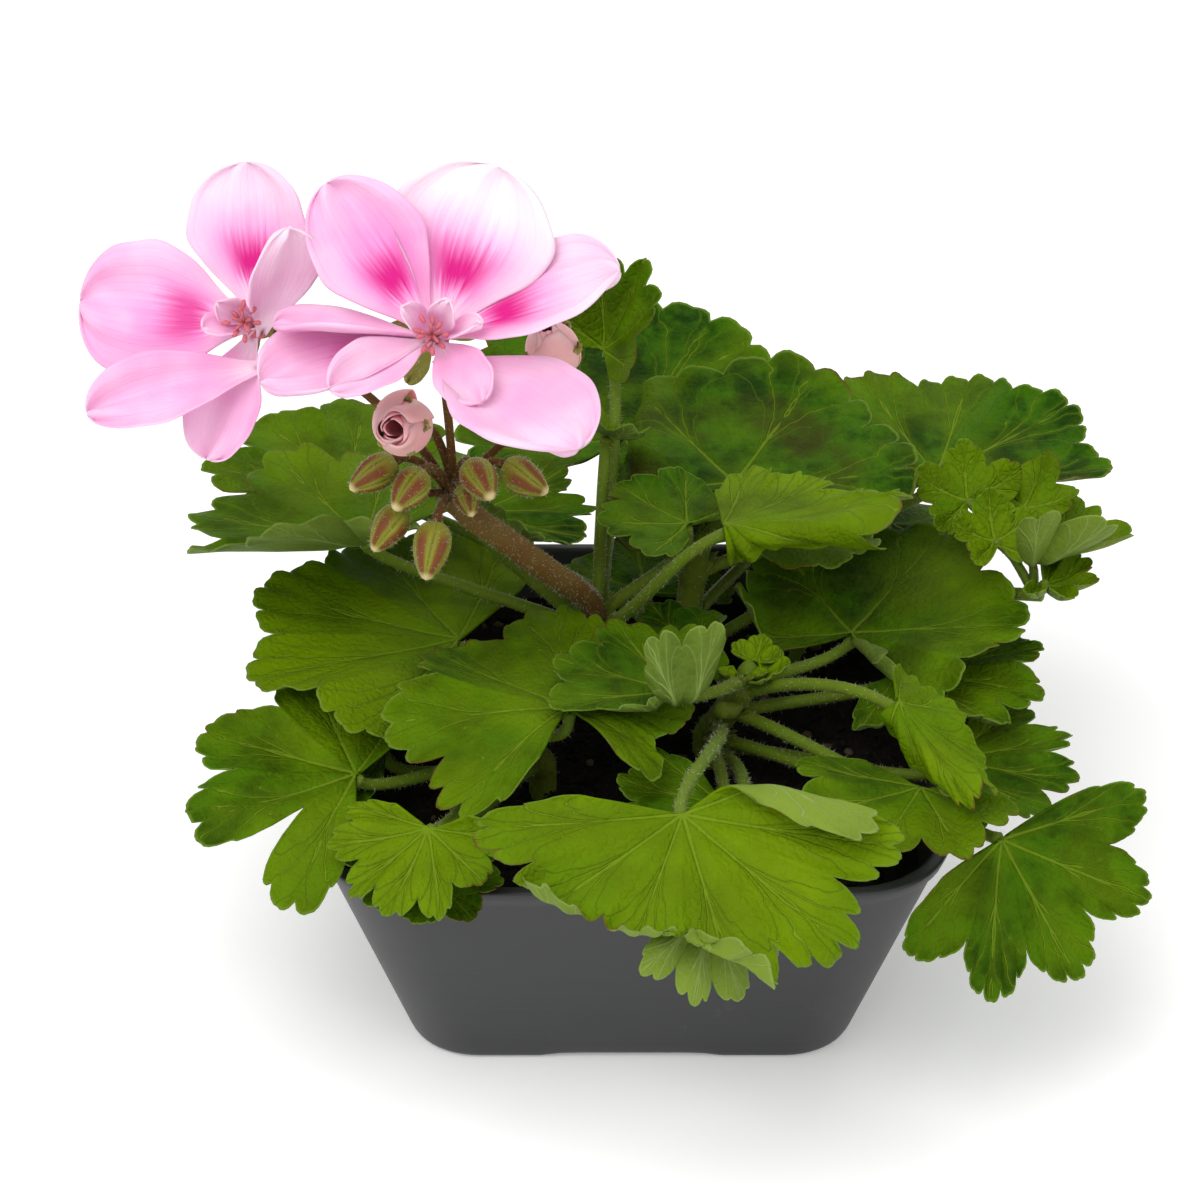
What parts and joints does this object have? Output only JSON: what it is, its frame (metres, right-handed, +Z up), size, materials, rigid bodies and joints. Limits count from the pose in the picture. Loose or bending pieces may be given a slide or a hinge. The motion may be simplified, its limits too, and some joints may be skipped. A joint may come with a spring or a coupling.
{
  "type": "potted zonal geranium",
  "caption": "Flowering bedding geranium with rounded lobed leaves and pale pink florets, growing in a shallow square tapered plastic pot of compost.",
  "frame": {"origin": "middle of the pot's base, on the surface it stands on", "axes": "+Z up; +X to the right and -Y towards the viewer, seen from the side with the large folded leaf over the rim; the pot's sides lie along X and Y"},
  "size_m": [0.1835, 0.1786, 0.1658],
  "materials": {
    "pot_plastic": "satin charcoal grey moulded plastic",
    "soil": "loose dark brown compost, coarse and matt",
    "leaf_green": "soft velvety green leaf with pale veins and margin",
    "leaf_young": "fresh light green young leaf",
    "leaf_yellow_green": "yellow-green velvety leaf",
    "leaf_bronze": "green leaf with a faint bronze zone",
    "stem": "soft hairy green stem",
    "flower_stalk": "hairy red-brown and green flower stalk",
    "petal": "thin soft pale pink petal with a magenta blotch",
    "bud_green": "hairy olive green sepals with red-brown stripes",
    "bud_pink": "rolled salmon-pink petals"
  },
  "bodies": {
    "root": {"pot": "pot_plastic", "potting_soil": "soil", "shoot_main": "stem", "shoot_right": "stem", "shoot_left": "stem", "shoot_back": "stem", "shoot_right_tip": "leaf_yellow_green", "young_shoot_right": "leaf_young", "leaf_left_folded": "leaf_green", "leaf_left_back": "leaf_green", "leaf_left_large": "leaf_green", "leaf_front_left": "leaf_green", "leaf_left_lobed": "leaf_green", "leaf_front_left_pale": "leaf_green", "leaf_front_left_rim": "leaf_green", "leaf_left_inner": "leaf_green", "leaf_front_centre": "leaf_yellow_green", "leaf_front_hanging": "leaf_green", "leaf_right_front": "leaf_green", "leaf_right_small": "leaf_green", "leaf_right_upper": "leaf_green", "leaf_right_lower": "leaf_green", "leaf_right_yellow": "leaf_yellow_green", "leaf_right_large": "leaf_green", "leaf_back_right": "leaf_green", "leaf_back_bronze": "leaf_bronze", "leaf_back_left": "leaf_green", "leaf_top_folded": "leaf_green", "leaf_top_small": "leaf_green", "leaf_centre_folded": "leaf_green", "leaf_centre_back": "leaf_green", "leaf_centre_low": "leaf_green", "leaf_under_flower": "leaf_green", "leaf_centre_wavy": "leaf_green", "leaf_inner_dark": "leaf_green", "leaf_front_under": "leaf_green", "leaf_rear_right": "leaf_green", "leaf_rear_left": "leaf_green", "leaf_rear_corner": "leaf_green", "flower_stalk": "flower_stalk", "floret_right_petals": "petal", "floret_left_petals": "petal", "closed_bud_1": "bud_green", "closed_bud_2": "bud_green", "closed_bud_3": "bud_green", "closed_bud_4": "bud_green", "closed_bud_5": "bud_green", "closed_bud_6": "bud_green", "closed_bud_7": "bud_green", "opening_bud_1": "bud_pink", "opening_bud_2": "bud_pink"}
  },
  "joints": []
}
